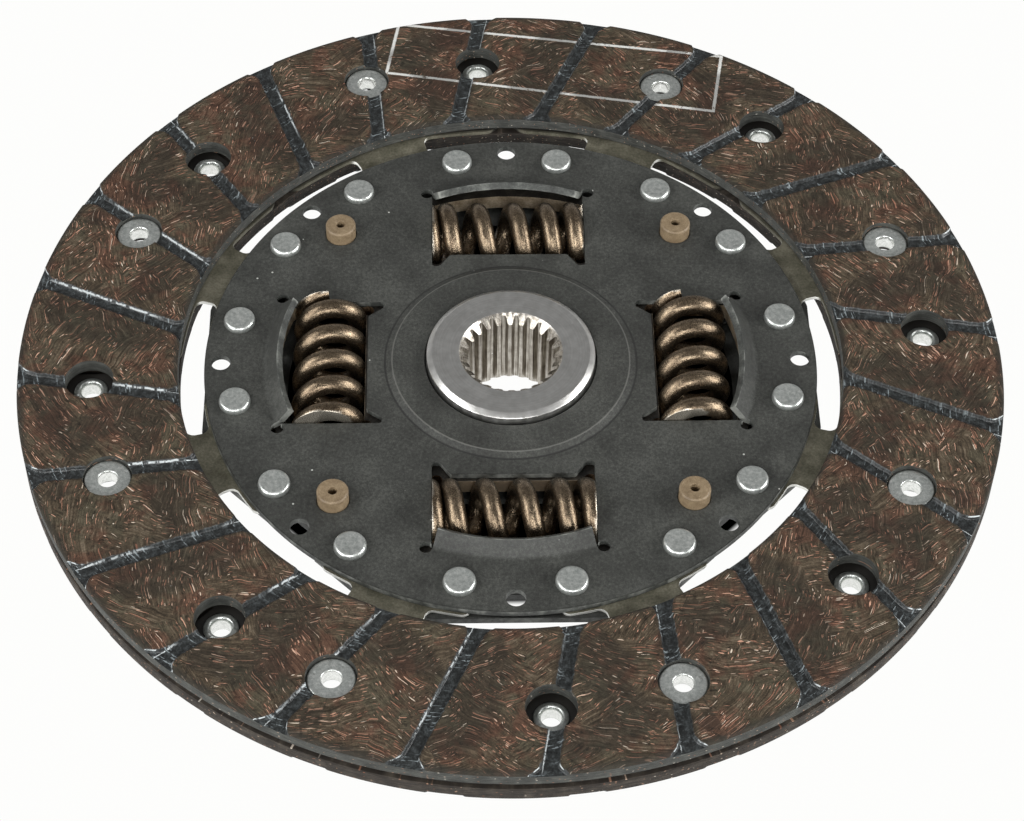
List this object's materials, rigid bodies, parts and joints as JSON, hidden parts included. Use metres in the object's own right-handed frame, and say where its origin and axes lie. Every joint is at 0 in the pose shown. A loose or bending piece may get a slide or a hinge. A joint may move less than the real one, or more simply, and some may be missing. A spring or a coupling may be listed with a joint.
{
  "type": "clutch disc",
  "caption": "Round clutch disc: grooved friction rings riveted to wavy cushion segments, and a splined hub driven through coil springs in dark steel plates.",
  "frame": {"origin": "on the disc axis, at the mid-plane of the cushion segments, halfway between the two friction faces", "axes": "+Z along the axis, out of the front side, where the plastic studs and the rivet heads show; the spring windows lie on +X, +Y, -X and -Y"},
  "size_m": [0.2, 0.2, 0.0212],
  "materials": {
    "facing": "woven organic friction lining, dark brown with copper-coloured fibres",
    "plate_steel": "matte black phosphated steel",
    "rivet_steel": "satin zinc-plated steel",
    "segment_steel": "oiled cold-rolled steel, olive-grey",
    "hub_steel": "machined steel with bright chamfers",
    "spring_steel": "oil-tempered spring wire, bronze-brown sheen",
    "tan_plastic": "moulded glass-filled nylon, tan",
    "dark_plastic": "moulded friction plastic, black"
  },
  "bodies": {
    "disc": {"front_facing": "facing", "rear_facing": "facing", "cushion_segment_1": "segment_steel", "cushion_segment_2": "segment_steel", "cushion_segment_3": "segment_steel", "cushion_segment_4": "segment_steel", "cushion_segment_5": "segment_steel", "cushion_segment_6": "segment_steel", "cushion_segment_7": "segment_steel", "cushion_segment_8": "segment_steel", "front_plate": "plate_steel", "rear_plate": "plate_steel", "plate_rivets": "rivet_steel", "front_facing_rivets": "rivet_steel", "rear_facing_rivets": "rivet_steel", "friction_carrier": "tan_plastic", "front_friction_ring": "dark_plastic", "disc_spring": "spring_steel", "rear_bush": "dark_plastic", "damper_spring_1": "spring_steel", "damper_spring_2": "spring_steel", "damper_spring_3": "spring_steel", "damper_spring_4": "spring_steel"},
    "hub_body": {"hub": "hub_steel", "hub_flange": "segment_steel"}
  },
  "joints": [
    {"name": "damper_torsion", "type": "hinge", "parent": "disc", "child": "hub_body", "pos_m": [0, 0, 0], "axis": [0, 0, 1], "range_deg": [-8, 8], "stiffness_Nm_per_rad": 20, "deforming": ["damper_spring_1", "damper_spring_2", "damper_spring_3", "damper_spring_4"]}
  ]
}
